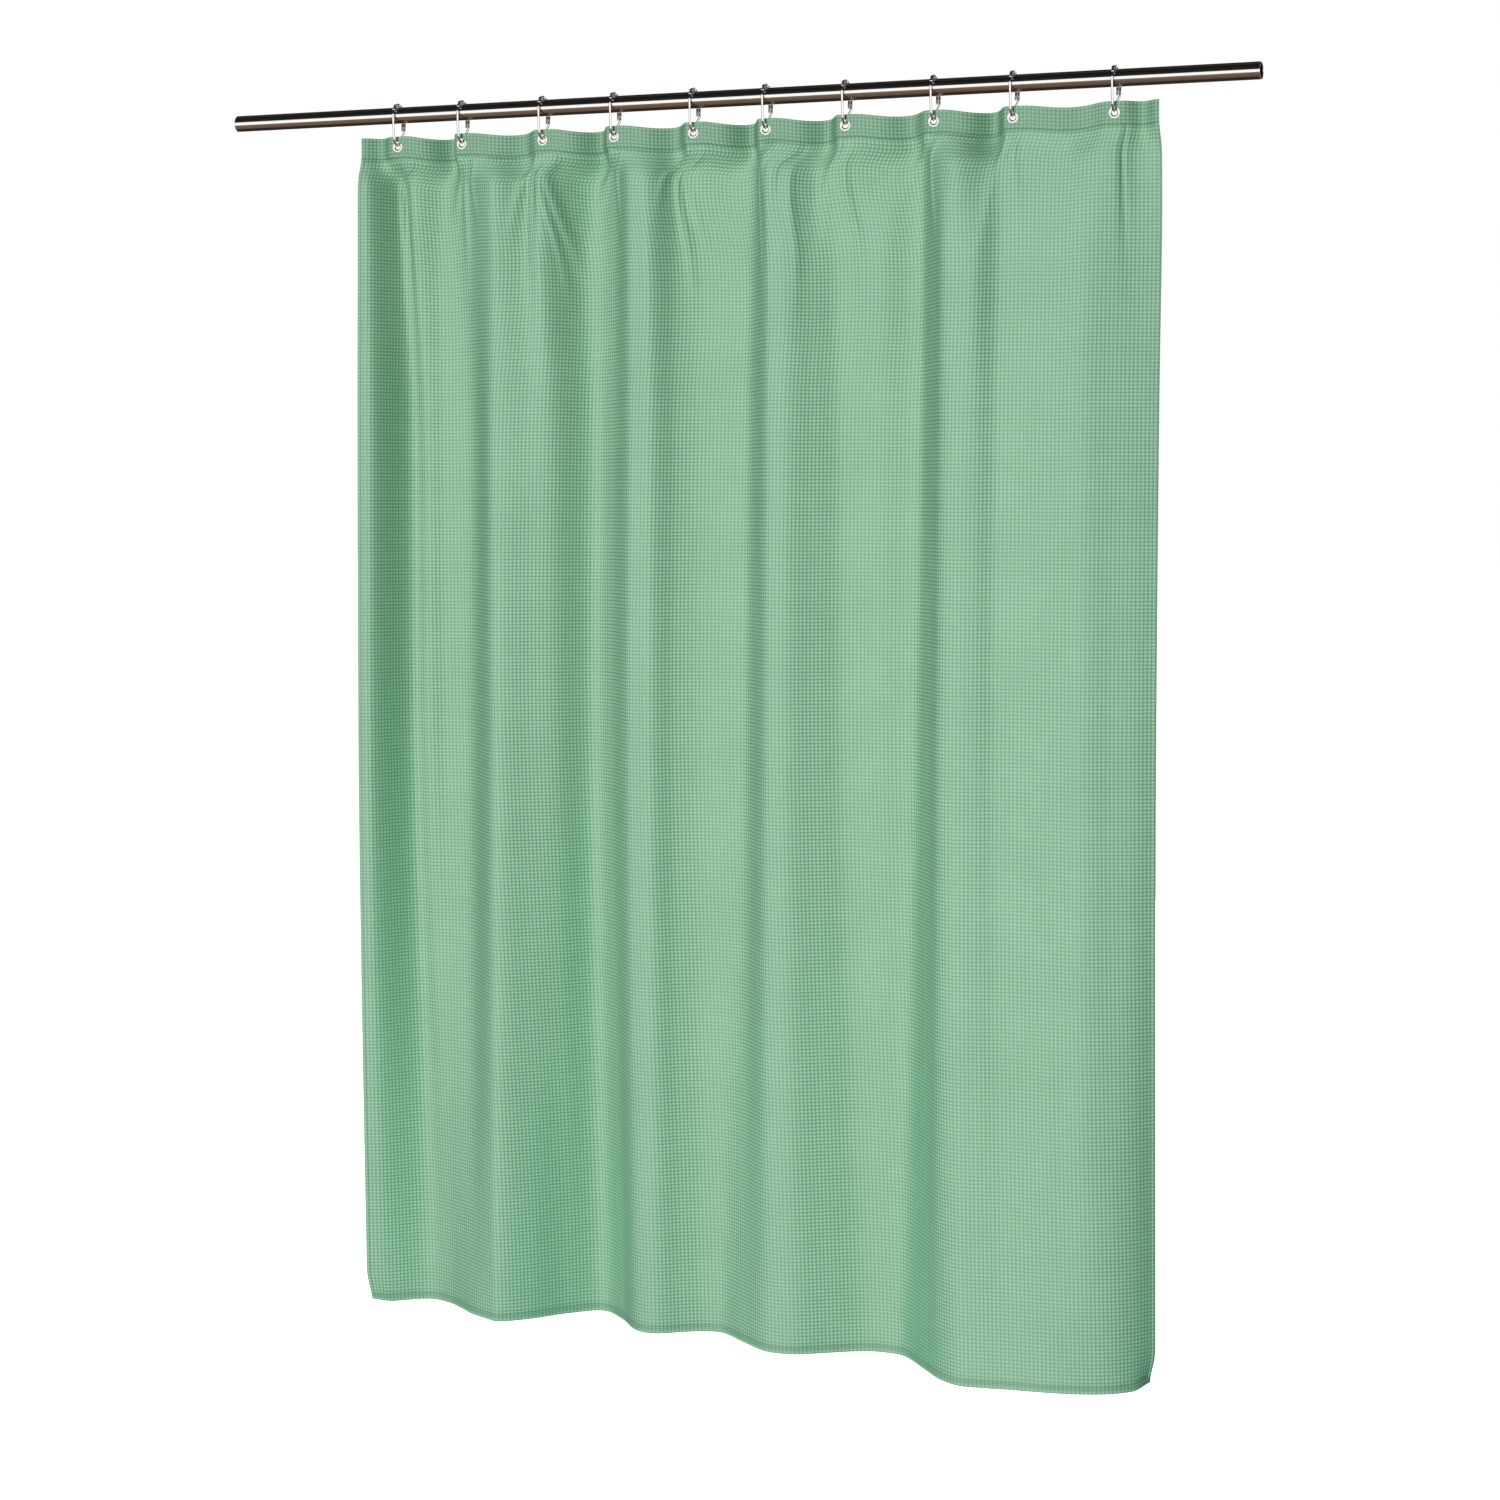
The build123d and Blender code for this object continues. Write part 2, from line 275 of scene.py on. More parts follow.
@dataclass(frozen=True)
class WaffleFinish:
    """Green waffle-weave cloth: raised pillows in a square grid with fine dark gaps."""

    name: str = "waffle_cloth"
    pillow: tuple[float, float, float] = (0.352, 0.555, 0.400)
    gap: tuple[float, float, float] = (0.140, 0.280, 0.176)
    # Painted shade on steep flanks: the colours they darken towards, high up and at the hem.
    painted_flank_shade: tuple[float, float, float] = (0.000, 0.195, 0.060)
    painted_flank_shade_low: tuple[float, float, float] = (0.000, 0.500, 0.220)
    length: float = 1.829
    # Painted shade: below 1 for darker copies of the cloth where it is doubled.
    painted_shade_tone: float = 1.0
    cell_width: float = 5.9 * MM
    cell_height: float = 5.27 * MM
    relief: float = 0.5 * MM
    # How strongly steepness paints flank shade into the colour.
    flank_shade_share: float = 0.48
    flat_contrast: float = 0.70
    # How much stronger the weave's contrast is painted on steep flanks, for grazing light.
    painted_grazing_contrast: float = 2.6
    most_contrast: float = 1.4
    mottle: float = 0.18
    fuzz: float = 0.25
    seams: tuple[float, ...] = ()
    seam_width: float = 1.9 * MM
    # Painted shade of a seam's groove: its colour and how much of it is laid on.
    painted_groove_shade: tuple[float, float, float] = (0.075, 0.190, 0.110)
    groove_shade_share: float = 0.75
    sheen: float = 0.02
    mottle_scale: float = 9.0
    thread_scale: float = 1400.0
    thread_relief: float = 0.15
    bump: float = 0.5
    roughness: float = 0.85
    specular: float = 0.1

    def material(self) -> bpy.types.Material:
        """Make the cloth material on the sheet's own UV map, which is in metres of flat cloth.

        The weave's height is the sine of the place across a cell times the sine of the place down
        it, so that it is 1 at a pillow's crown and 0 in the gaps. Where the cloth turns steeply the
        pillows would hide one another's gaps from the light; that shade is painted into the colour by
        the steepness attribute, more strongly high up than near the hem, and the weave's contrast is
        painted stronger.
        Along a seam a narrow darker line is painted: the shade of the groove the thread pulls into the
        weave.
        """
        g = Graph.new(self.name)
        uv = g.node("ShaderNodeUVMap", uv_map="UVMap").outputs[0]
        parts = g.node("ShaderNodeSeparateXYZ")
        g.link(uv, parts.inputs[0])
        across, down = (
            g.math("ABSOLUTE", g.math("SINE", g.math("MULTIPLY", place, math.pi / cell)))
            for place, cell in ((parts.outputs[0], self.cell_width), (parts.outputs[1], self.cell_height))
        )
        crown = g.math("MULTIPLY", across, down)
        # Steepness drives the painted shade: darker colour and stronger weave contrast on steep flanks.
        steep = g.node("ShaderNodeAttribute", attribute_name="steepness").outputs["Fac"]
        contrast = g.math("MULTIPLY_ADD", steep, self.painted_grazing_contrast, self.flat_contrast)
        contrast = g.math("MINIMUM", contrast, self.most_contrast)
        mean = (2 / math.pi) ** 2
        weave = g.math("MULTIPLY_ADD", g.math("SUBTRACT", crown, mean), contrast, mean)
        mottle = g.noise(uv, self.mottle_scale, 3.0)
        thread = g.noise(uv, self.thread_scale, 1.0)
        share = g.math("ADD", weave, g.math("MULTIPLY", g.math("SUBTRACT", mottle, 0.5), self.mottle))
        share = g.math("ADD", share, g.math("MULTIPLY", g.math("SUBTRACT", thread, 0.5), self.fuzz))
        # Painted shade: both weave colours are scaled down by the shade tone.
        gap, pillow = (tuple(self.painted_shade_tone * part for part in colour) for colour in (self.gap, self.pillow))
        colour = g.mix(g.math("MINIMUM", g.math("MAXIMUM", share, 0.0), 1.0), gap, pillow)
        # Painted shade: the colour darkens towards the flank shade by steepness, less so lower down.
        lower = g.math("POWER", g.math("DIVIDE", parts.outputs[1], self.length), 2.0)
        painted_flank_shade = g.mix(lower, self.painted_flank_shade, self.painted_flank_shade_low)
        colour = g.mix(g.math("MULTIPLY", steep, self.flank_shade_share), colour, painted_flank_shade)
        # Painted shade: a narrow darker line along each seam, for the groove under the stitches.
        for place in self.seams:
            away = g.math("ABSOLUTE", g.math("SUBTRACT", parts.outputs[1], place))
            near = g.math("LESS_THAN", away, self.seam_width / 2)
            colour = g.mix(g.math("MULTIPLY", near, self.groove_shade_share), colour, self.painted_groove_shade)
        height = g.math("ADD", crown, g.math("MULTIPLY", thread, self.thread_relief))
        bump = g.node("ShaderNodeBump")
        bump.inputs["Strength"].default_value = self.bump
        bump.inputs["Distance"].default_value = self.relief
        g.link(height, bump.inputs["Height"])
        shader = g.node("ShaderNodeBsdfPrincipled")
        shader.inputs["Roughness"].default_value = self.roughness
        shader.inputs["Specular IOR Level"].default_value = self.specular
        shader.inputs["Sheen Weight"].default_value = self.sheen
        shader.inputs["Sheen Roughness"].default_value = 0.5
        g.link(colour, shader.inputs["Base Color"])
        g.link(bump.outputs[0], shader.inputs["Normal"])
        return g.finish(shader)


@dataclass(frozen=True)
class ThreadFinish:
    """Twisted sewing thread, a little darker than the cloth."""

    name: str = "sewing_thread"
    light: tuple[float, float, float] = (0.170, 0.360, 0.225)
    dark: tuple[float, float, float] = (0.090, 0.215, 0.125)
    twist: float = 2500.0
    roughness: float = 0.7
    sheen: float = 0.2

    def material(self) -> bpy.types.Material:
        """Make the thread on object coordinates, with a fine slanting twist in its colour."""
        g = Graph.new(self.name)
        place = g.node("ShaderNodeTexCoord").outputs["Object"]
        shader = g.node("ShaderNodeBsdfPrincipled")
        shader.inputs["Roughness"].default_value = self.roughness
        shader.inputs["Sheen Weight"].default_value = self.sheen
        g.link(g.mix(g.noise(place, self.twist, 1.0), self.dark, self.light), shader.inputs["Base Color"])
        return g.finish(shader)


@dataclass(frozen=True)
class MetalFinish:
    """Bright plated metal with a faint haze and fine handling marks."""

    name: str
    colour: tuple[float, float, float]
    roughness: float
    haze: float = 0.05
    grain: float = 220.0
    dulling: float = 0.9

    def material(self) -> bpy.types.Material:
        """Make the metal on object coordinates; its roughness wanders a little about its mean."""
        g = Graph.new(self.name)
        place = g.node("ShaderNodeTexCoord").outputs["Object"]
        marks = g.noise(place, self.grain, 4.0)
        roughness = g.math("ADD", self.roughness - self.haze / 2, g.math("MULTIPLY", marks, self.haze))
        shader = g.node("ShaderNodeBsdfPrincipled")
        shader.inputs["Metallic"].default_value = 1.0
        dull = tuple(self.dulling * part for part in self.colour)
        g.link(g.mix(marks, dull, self.colour), shader.inputs["Base Color"])
        g.link(roughness, shader.inputs["Roughness"])
        return g.finish(shader)


@dataclass(frozen=True)
class FloorFinish:
    """Plain pale studio floor that glows a little, so that it meets the backdrop without a line."""

    name: str = "studio_floor"
    colour: tuple[float, float, float] = (0.60, 0.60, 0.60)
    glow: float = 1.0

    def material(self) -> bpy.types.Material:
        """Make a matt, even floor."""
        g = Graph.new(self.name)
        shader = g.node("ShaderNodeBsdfPrincipled")
        shader.inputs["Base Color"].default_value = (*self.colour, 1.0)
        shader.inputs["Roughness"].default_value = 0.9
        shader.inputs["Emission Color"].default_value = (1.0, 1.0, 1.0, 1.0)
        shader.inputs["Emission Strength"].default_value = self.glow
        return g.finish(shader)


# ---- The hanging cloth ------------------------------------------------------------


@dataclass(frozen=True)
class Fold:
    """One line of the drape, running from the top band to the hem.

    It may be a crest, a valley or a place on the slope between them. Its share of the hung
    width and its depth in millimetres (towards the room is negative) are given at each of the
    drape's stations, top first.
    """

    share: tuple[float, float, float, float, float]
    depth: tuple[float, float, float, float, float]


@dataclass(frozen=True)
class Pucker:
    """A small tension crease: a narrow ridge between two flat places, dying away at both ends."""

    start: tuple[float, float]
    end: tuple[float, float]
    height: float
    width: float


FOLDS = (
    Fold((0.000, 0.000, 0.000, 0.000, 0.000), (-10, -14, -20, -22, 2)),
    Fold((0.014, 0.016, 0.020, 0.018, 0.022), (-9, -12, -16, -18, 16)),
    Fold((0.039, 0.042, 0.045, 0.046, 0.065), (38, 46, 62, 62, 56)),
    Fold((0.059, 0.064, 0.070, 0.072, 0.098), (18, 30, 54, 59, 46)),
    Fold((0.098, 0.092, 0.092, 0.092, 0.125), (40, 47, 66, 71, 22)),
    Fold((0.133, 0.130, 0.132, 0.128, 0.147), (22, 38, 60, 66, 0)),
    Fold((0.171, 0.174, 0.176, 0.177, 0.176), (-8, -8, -12, -16, -19)),
    Fold((0.188, 0.190, 0.192, 0.194, 0.192), (-14, -16, -20, -25, -25)),
    Fold((0.222, 0.222, 0.224, 0.224, 0.222), (12, 6, 0, 6, 7)),
    Fold((0.245, 0.244, 0.252, 0.252, 0.255), (-2, -2, 18, 36, 60)),
    Fold((0.295, 0.284, 0.288, 0.284, 0.290), (48, 58, 76, 88, 95)),
    Fold((0.330, 0.324, 0.320, 0.314, 0.328), (27, 46, 58, 70, 60)),
    Fold((0.358, 0.358, 0.358, 0.354, 0.360), (-6, -4, -4, 2, 13)),
    Fold((0.372, 0.374, 0.374, 0.371, 0.380), (-12, -12, -12, -8, 2)),
    Fold((0.389, 0.390, 0.391, 0.389, 0.396), (-9, -12, -11, -8, 7)),
    Fold((0.415, 0.413, 0.414, 0.412, 0.418), (24, 22, 22, 22, 27)),
    Fold((0.440, 0.438, 0.440, 0.440, 0.438), (22, 38, 42, 43, 42)),
    Fold((0.486, 0.484, 0.478, 0.474, 0.464), (37, 46, 50, 48, 46)),
    Fold((0.509, 0.506, 0.502, 0.499, 0.500), (32, 38, 44, 42, 12)),
    Fold((0.533, 0.537, 0.537, 0.535, 0.536), (-6, -12, -18, -20, -22)),
    Fold((0.542, 0.548, 0.553, 0.551, 0.557), (-10, -16, -25, -29, -28)),
    Fold((0.563, 0.565, 0.568, 0.568, 0.580), (-4, -12, -20, -24, -22)),
    Fold((0.590, 0.590, 0.593, 0.596, 0.612), (18, 12, 6, 4, 4)),
    Fold((0.626, 0.616, 0.620, 0.625, 0.645), (8, 28, 30, 30, 30)),
    Fold((0.682, 0.668, 0.668, 0.668, 0.670), (30, 30, 32, 35, 37)),
    Fold((0.714, 0.712, 0.713, 0.708, 0.698), (32, 46, 43, 38, 29)),
    Fold((0.738, 0.738, 0.738, 0.736, 0.738), (-0, 2, -4, -12, -27)),
    Fold((0.755, 0.757, 0.758, 0.757, 0.765), (-14, -34, -48, -60, -66)),
    Fold((0.773, 0.776, 0.779, 0.779, 0.792), (-19, -42, -60, -74, -87)),
    Fold((0.809, 0.798, 0.799, 0.800, 0.815), (7, -38, -55, -69, -86)),
    Fold((0.830, 0.823, 0.823, 0.826, 0.845), (-4, -16, -36, -54, -80)),
    Fold((0.888, 0.890, 0.890, 0.892, 0.900), (4, -18, -38, -53, -72)),
    Fold((0.918, 0.918, 0.920, 0.924, 0.934), (-2, -21, -41, -56, -61)),
    Fold((0.950, 0.950, 0.953, 0.955, 0.962), (-2, -7, -22, -37, -44)),
    Fold((0.972, 0.973, 0.976, 0.979, 0.982), (13, 8, -7, -21, -20)),
    Fold((1.000, 1.000, 1.000, 1.000, 1.000), (15, 20, 10, 0, 12)),
)

PUCKERS = (
    Pucker((0.078, 0.02), (0.112, 0.44), -5.0, 5.0),
    Pucker((0.090, 0.02), (0.122, 0.22), -3.4, 3.6),
    Pucker((0.222, 0.02), (0.186, 0.15), -5.9, 5.0),
    Pucker((0.228, 0.02), (0.205, 0.30), -4.5, 5.0),
    Pucker((0.236, 0.02), (0.262, 0.17), -3.6, 4.0),
    Pucker((0.374, 0.02), (0.318, 0.20), -6.7, 6.0),
    Pucker((0.378, 0.02), (0.352, 0.30), -4.2, 5.0),
    Pucker((0.388, 0.02), (0.470, 0.26), -7.5, 7.0),
    Pucker((0.384, 0.02), (0.440, 0.30), -7.0, 5.0),
    Pucker((0.382, 0.02), (0.404, 0.24), -3.6, 4.0),
    Pucker((0.532, 0.02), (0.488, 0.13), -5.6, 6.0),
    Pucker((0.540, 0.02), (0.560, 0.20), -4.2, 4.5),
    Pucker((0.678, 0.02), (0.640, 0.16), -4.8, 5.0),
    Pucker((0.684, 0.02), (0.700, 0.34), -5.3, 5.0),
    Pucker((0.692, 0.02), (0.728, 0.22), -3.6, 4.0),
    Pucker((0.838, 0.02), (0.834, 0.30), -4.5, 5.0),
    Pucker((0.842, 0.02), (0.872, 0.15), -5.9, 4.5),
    Pucker((0.900, 0.03), (0.888, 0.17), 5.0, 5.0),
    Pucker((0.915, 0.04), (0.902, 0.36), -3.9, 5.0),
    Pucker((0.984, 0.02), (0.950, 0.20), -4.2, 5.0),
    Pucker((0.996, 0.02), (1.018, 0.40), -4.5, 5.0),
    Pucker((1.140, 0.02), (1.082, 0.12), -6.3, 5.0),
    Pucker((1.150, 0.02), (1.168, 0.26), -4.2, 5.0),
    Pucker((1.292, 0.02), (1.252, 0.24), -4.5, 5.0),
    Pucker((1.300, 0.02), (1.322, 0.20), -3.4, 4.5),
    Pucker((1.462, 0.00), (1.474, 0.27), 4.8, 3.0),
    Pucker((1.372, 1.30), (1.352, 1.62), -2.8, 9.0),
)


@dataclass
class Drape:
    """The shape of the hanging cloth, as places in space for places on the flat cloth.

    Each level of the cloth is a curve seen from above. Its depth is worked out along X, then its
    folds are deepened until the curve is as long as the flat cloth is wide, and last it is
    divided evenly by its length, so that the weave neither stretches nor shrinks.
    """

    rings: Array
    left: float
    right: float
    top: float
    flat_width: float = 1.524
    flat_length: float = 1.829
    eyelet_flat: float = 9.5 * MM
    stations: tuple[float, ...] = (0.06, 0.20, 0.45, 1.00, 1.829)
    band_blend: tuple[float, float] = (0.022, 0.078)
    top_sag: float = 5.0 * MM
    sag_fade: float = 0.25
    fold_lean: float = 2.1
    fold_dip: float = 0.03
    corner_reach: float = 0.055
    corner_turn: float = 10 * MM
    corner_rise: float = 7 * MM
    corner_width: float = 45 * MM
    corner_slack: float = 10 * MM
    crease_spread: tuple[float, float] = (0.7, 0.8)
    crease_rise: float = 0.22
    crease_fall: float = 0.25
    columns: int = 1601
    levels: int = 367

    def __post_init__(self) -> None:
        """Work the whole surface out once, on a fine grid of flat places."""
        self.pitch = self.flat_width / len(self.rings)
        self.s = np.linspace(0, self.flat_width, self.columns)
        self.v = np.linspace(0, self.flat_length, self.levels)
        x = np.linspace(self.left, self.right, self.columns)
        share = smoothstep(self.v, *self.band_blend)[:, None]
        depth = (1 - share) * self.band_depth(x) + share * self.fold_depth(x)
        self.grid = self.even_out(x, self.fit_lengths(x, depth))
        self.pucker()
        self.curl_corners()
        self.normals = self.grid_normals()

    def band_depth(self, x: Array) -> Array:
        """Depth of the top band: flat at the rings, one fold away from the room in every bay.

        A bay's depth is the square of the sine of half a turn across the bay, with the place across
        it raised to a power so that the fold leans to the right, less a small squared sine in the
        bay's left part. It is scaled so that the bay's curve is as long as the eyelets' pitch.
        """
        out = np.zeros_like(x)
        for here, there in zip(self.rings, self.rings[1:]):
            t = np.clip((x - here - self.eyelet_flat) / (there - here - 2 * self.eyelet_flat), 0, 1)
            dip = np.sin(2 * math.pi * np.clip(2.2 * t, 0, 0.5)) ** 2
            shape = np.sin(math.pi * t**self.fold_lean) ** 2 - self.fold_dip * dip
            inside = (x >= here) & (x <= there)
            out += self.scaled_bay(x, shape, inside, self.pitch)
        for ring, edge in ((self.rings[0], self.left), (self.rings[-1], self.right)):
            outward = math.copysign(1.0, edge - ring)
            reach = abs(edge - ring) - self.eyelet_flat
            t = np.clip((outward * (x - ring) - self.eyelet_flat) / reach, 0, 1)
            shape = np.sin(math.pi * t) ** 2
            inside = outward * (x - ring) >= 0
            out += self.scaled_bay(x, shape, inside, self.pitch / 2)
        return out

    @staticmethod
    def scaled_bay(x: Array, shape: Array, inside: Array, length: float) -> Array:
        """Scale a bay's shape, by halving an interval, until its curve has the given length."""
        place, form = x[inside], shape[inside]
        low, high = 0.0, 0.2
        for _ in range(HALVINGS):
            middle = (low + high) / 2
            run = np.hypot(np.diff(place), np.diff(middle * form)).sum()
            low, high = (middle, high) if run < length else (low, middle)
        return np.where(inside, low * shape, 0.0)

    def fold_depth(self, x: Array) -> Array:
        """Depth at every level from the fold lines, each line and each level a flowing curve."""
        stations = np.array(self.stations)
        lines = np.array([(fold.share, fold.depth) for fold in FOLDS], float).transpose(2, 0, 1)
        rows = flowing(stations, lines, np.clip(self.v, stations[0], stations[-1]))
        share = (x - self.left) / (self.right - self.left)
        return MM * np.stack([flowing(row[:, 0], row[:, 1], share) for row in rows])

    def fit_lengths(self, x: Array, depth: Array) -> Array:
        """Deepen or flatten each level's folds until its curve is as long as the flat width."""
        step = np.diff(x)[None, :]
        rise = np.diff(depth, axis=1)
        low, high = np.zeros((len(depth), 1)), np.full((len(depth), 1), 3.0)
        for _ in range(HALVINGS):
            middle = (low + high) / 2
            short = np.hypot(step, middle * rise).sum(1, keepdims=True) < self.flat_width
            low, high = np.where(short, middle, low), np.where(short, high, middle)
        self.scale = low[:, 0]
        return low * depth

    def even_out(self, x: Array, depth: Array) -> Array:
        """Divide each level's curve evenly by its length.

        Returns:
            Points for every level and every place along it, as an array of levels, places, XYZ.
        """
        run = np.hypot(np.diff(x)[None, :], np.diff(depth, axis=1))
        along = np.concatenate([np.zeros((len(depth), 1)), np.cumsum(run, axis=1)], axis=1)
        along *= self.flat_width / along[:, -1:]
        xs = np.stack([np.interp(self.s, row, x) for row in along])
        ys = np.stack([np.interp(self.s, row, level) for row, level in zip(along, depth)])
        zs = self.top - self.v[:, None] - self.sag(xs)
        return np.stack([xs, ys, zs], -1)

    def sag(self, xs: Array) -> Array:
        """How far the top edge sinks between rings; it dies away down the cloth."""
        sag = np.zeros_like(xs)
        for here, there in zip(self.rings, self.rings[1:]):
            t = np.clip((xs - here - self.eyelet_flat) / (there - here - 2 * self.eyelet_flat), 0, 1)
            sag += self.top_sag * np.sin(math.pi * t) ** 2
        return sag * np.exp(-self.v / self.sag_fade)[:, None]

    def pucker(self) -> None:
        """Add the small tension creases to the depth.

        Across a crease the height is a bell curve of its distance from the crease's line, and the
        bell widens down the crease; along it the height rises at once and then falls away evenly.
        """
        s, v = self.s[None, :], self.v[:, None]
        for crease in PUCKERS:
            (s0, v0), (s1, v1) = crease.start, crease.end
            t = (v - v0) / (v1 - v0)
            spread = self.crease_spread[0] + self.crease_spread[1] * np.clip(t, 0, 1)
            away = (s - s0 - (s1 - s0) * t) / (crease.width * MM * spread)
            along = smoothstep(t, 0.0, self.crease_rise) * (1 - smoothstep(t, self.crease_fall, 1.0))
            self.grid[..., 1] += crease.height * MM * along * np.exp(-away * away / 2)

    def curl_corners(self) -> None:
        """Turn the two lower corners in and up, by the product of two easing curves."""
        start, end = self.flat_length - self.corner_reach, self.flat_length + self.corner_slack
        low = smoothstep(self.v, start, end)[:, None]
        for edge, side in ((0.0, 1.0), (self.flat_width, -1.0)):
            near = 1 - smoothstep(np.abs(self.s - edge), -self.corner_slack, self.corner_width)[None, :]
            self.grid[..., 0] += side * self.corner_turn * low * near
            self.grid[..., 2] += self.corner_rise * low * near

    def grid_normals(self) -> Array:
        """Unit normals towards the room, from the cross product of the grid's two tangents."""
        across = np.gradient(self.grid, axis=1)
        down = np.gradient(self.grid, axis=0)
        normal = np.cross(down, across)
        normal *= -np.sign(normal[..., 1:2].mean())
        return normal / np.linalg.norm(normal, axis=-1, keepdims=True)

    def steepness(self, s: Array, v: Array) -> Array:
        """One less the normal's share of Y: 0 where the cloth faces the room squarely."""
        return 1 - np.abs(self.at(s, v, 1.0) - self.at(s, v))[..., 1]

    def at(self, s: Array, v: Array, lift: Array | float = 0.0) -> Array:
        """Places in space for places on the flat cloth, by straight interpolation on the grid.

        Args:
            s: Places along the top edge.
            v: Places down from it, of the same shape.
            lift: How far off the cloth's middle surface, towards the room.

        Returns:
            One row of three numbers for each place.
        """
        i = np.clip(s / self.flat_width, 0, 1) * (self.columns - 1)
        j = np.clip(v / self.flat_length, 0, 1) * (self.levels - 1)
        i0, j0 = np.minimum(i.astype(int), self.columns - 2), np.minimum(j.astype(int), self.levels - 2)
        a, b = (i - i0)[..., None], (j - j0)[..., None]

        def read(g: Array) -> Array:
            """Read one grid at the places."""
            upper = g[j0, i0] * (1 - a) + g[j0, i0 + 1] * a
            lower = g[j0 + 1, i0] * (1 - a) + g[j0 + 1, i0 + 1] * a
            return upper * (1 - b) + lower * b

        return read(self.grid) + read(self.normals) * np.asarray(lift, float)[..., None]


@dataclass
class Curtain:
    """The cloth: main sheet, top band and hems, with their stitching."""

    drape: Drape
    cloth: bpy.types.Material
    band_cloth: bpy.types.Material
    hem_cloth: bpy.types.Material
    thread: bpy.types.Material
    anchor: tuple[float, float, float]
    columns: int = 601
    rows: int = 80
    thickness: float = 1.0 * MM
    band_depth: float = 35 * MM
    band_thickness: float = 1.8 * MM
    band_rounding: float = 0.9 * MM
    thinnest: float = 0.15
    patch_half: float = 7.5 * MM
    patch_cells: int = 8
    patch_layers: int = 4
    bay_columns: int = 40
    top_rows: tuple[float, ...] = (0.0, 0.2, 0.6, 1.2, 2.6, 5.2)
    hem_depth: float = 10 * MM
    hem_thickness: float = 2.6 * MM
    hem_sides: int = 16
    side_width: float = 6 * MM
    side_thickness: float = 2.4 * MM
    eyelet_v: float = 16.1 * MM
    hole_radius: float = 5.1 * MM
    stitch_length: float = 3.2 * MM
    stitch_pitch: float = 4.4 * MM
    stitch_width: float = 0.62 * MM
    stitch_sink: float = 0.25 * MM
    side_stitch: float = 4.6 * MM

    def build(self) -> list[bpy.types.Object]:
        panel = self.panel()
        others = [self.band(), self.bottom_hem()]
        others += [self.side_hem(side) for side in Side]
        others += self.stitching()
        for piece in [panel, *others]:
            piece.visible_glossy = False
            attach(piece, "curtain")
            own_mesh(piece)
        return [panel, *others]

    def panel(self) -> bpy.types.Object:
        """The main sheet, as a grid of flat places carried to the drape, closer together at both ends."""
        edge = self.side_width / 2
        s = np.linspace(edge, self.drape.flat_width - edge, self.columns)
        t = np.linspace(0, 1, self.rows)
        top, bottom = self.band_depth - 2 * MM, self.drape.flat_length - self.hem_depth / 2
        v = np.interp(t, (0.0, 0.62, 0.88, 1.0), (top, 0.40, 1.70, bottom))
        ss, vv = np.meshgrid(s, v)
        points = self.drape.at(ss, vv).reshape(-1, 3)
        quads = grid_quads(self.rows, self.columns)[:, ::-1]
        flat = np.stack([ss, vv], -1).reshape(-1, 2)
        piece = mesh_object("curtain_cloth", points, quads, flat, self.drape.steepness(ss, vv))
        piece.data.materials.append(self.cloth)
        shell = piece.modifiers.new("thickness", "SOLIDIFY")
        shell.thickness = self.thickness
        shell.offset = 0.0
        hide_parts("curtain_panel")
        return piece

    def band(self) -> bpy.types.Object:
        """The doubled top band: two faces joined round every edge, with a round hole at each eyelet."""
        s, v, centres = self.band_rulings()
        flat, quads, holes = self.band_plane(s, v, centres)
        rows, columns, back_first = len(v), len(s), len(flat)
        edge = np.arange(columns)
        side = np.arange(rows) * columns
        bottom = (rows - 1) * columns
        outline = np.concatenate([edge[:-1], side[:-1] + columns - 1, bottom + edge[:0:-1], side[:0:-1]])
        walls = [self.wall(outline, back_first)]
        walls += [self.wall(hole[::-1], back_first) for hole in holes]
        lift = self.band_lift(flat)
        front = self.drape.at(flat[:, 0], flat[:, 1], lift)
        back = self.drape.at(flat[:, 0], flat[:, 1], -lift)
        faces = np.concatenate([quads[:, ::-1], quads + back_first, *walls])
        steep = np.tile(self.drape.steepness(flat[:, 0], flat[:, 1]), 2)
        points, both = np.concatenate([front, back]), np.concatenate([flat, flat])
        piece = mesh_object("top_band", points, faces, both, steep)
        piece.data.materials.append(self.band_cloth)
        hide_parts("header_band")
        LOG.info("band faces of %d points, %d round a hole", back_first, holes.shape[1])
        return piece

    def band_rulings(self) -> tuple[Array, Array, Array]:
        """Rule the flat band, closely at its edges and evenly in a square about each eyelet.

        Returns:
            The places of the columns, the places of the rows, and the eyelets' places along s.
        """
        half, cells = self.patch_half, self.patch_cells
        centres = (np.arange(len(self.drape.rings)) + 0.5) * self.drape.pitch
        pieces, last = [], 0.0
        for centre in centres:
            between = self.bay_columns if last else self.bay_columns // 2
            pieces.append(np.linspace(last, centre - half, between, endpoint=False))
            pieces.append(np.linspace(centre - half, centre + half, cells, endpoint=False))
            last = centre + half
        pieces.append(np.linspace(last, self.drape.flat_width, self.bay_columns // 2 + 1))
        low = self.eyelet_v + half
        rows = np.concatenate([
            np.array(self.top_rows) * MM,
            np.linspace(self.eyelet_v - half, low, cells, endpoint=False),
            np.linspace(low, self.band_depth - 1.2 * MM, 6),
            self.band_depth - np.array([0.6, 0.2, 0.0]) * MM,
        ])
        return np.concatenate(pieces), rows, centres

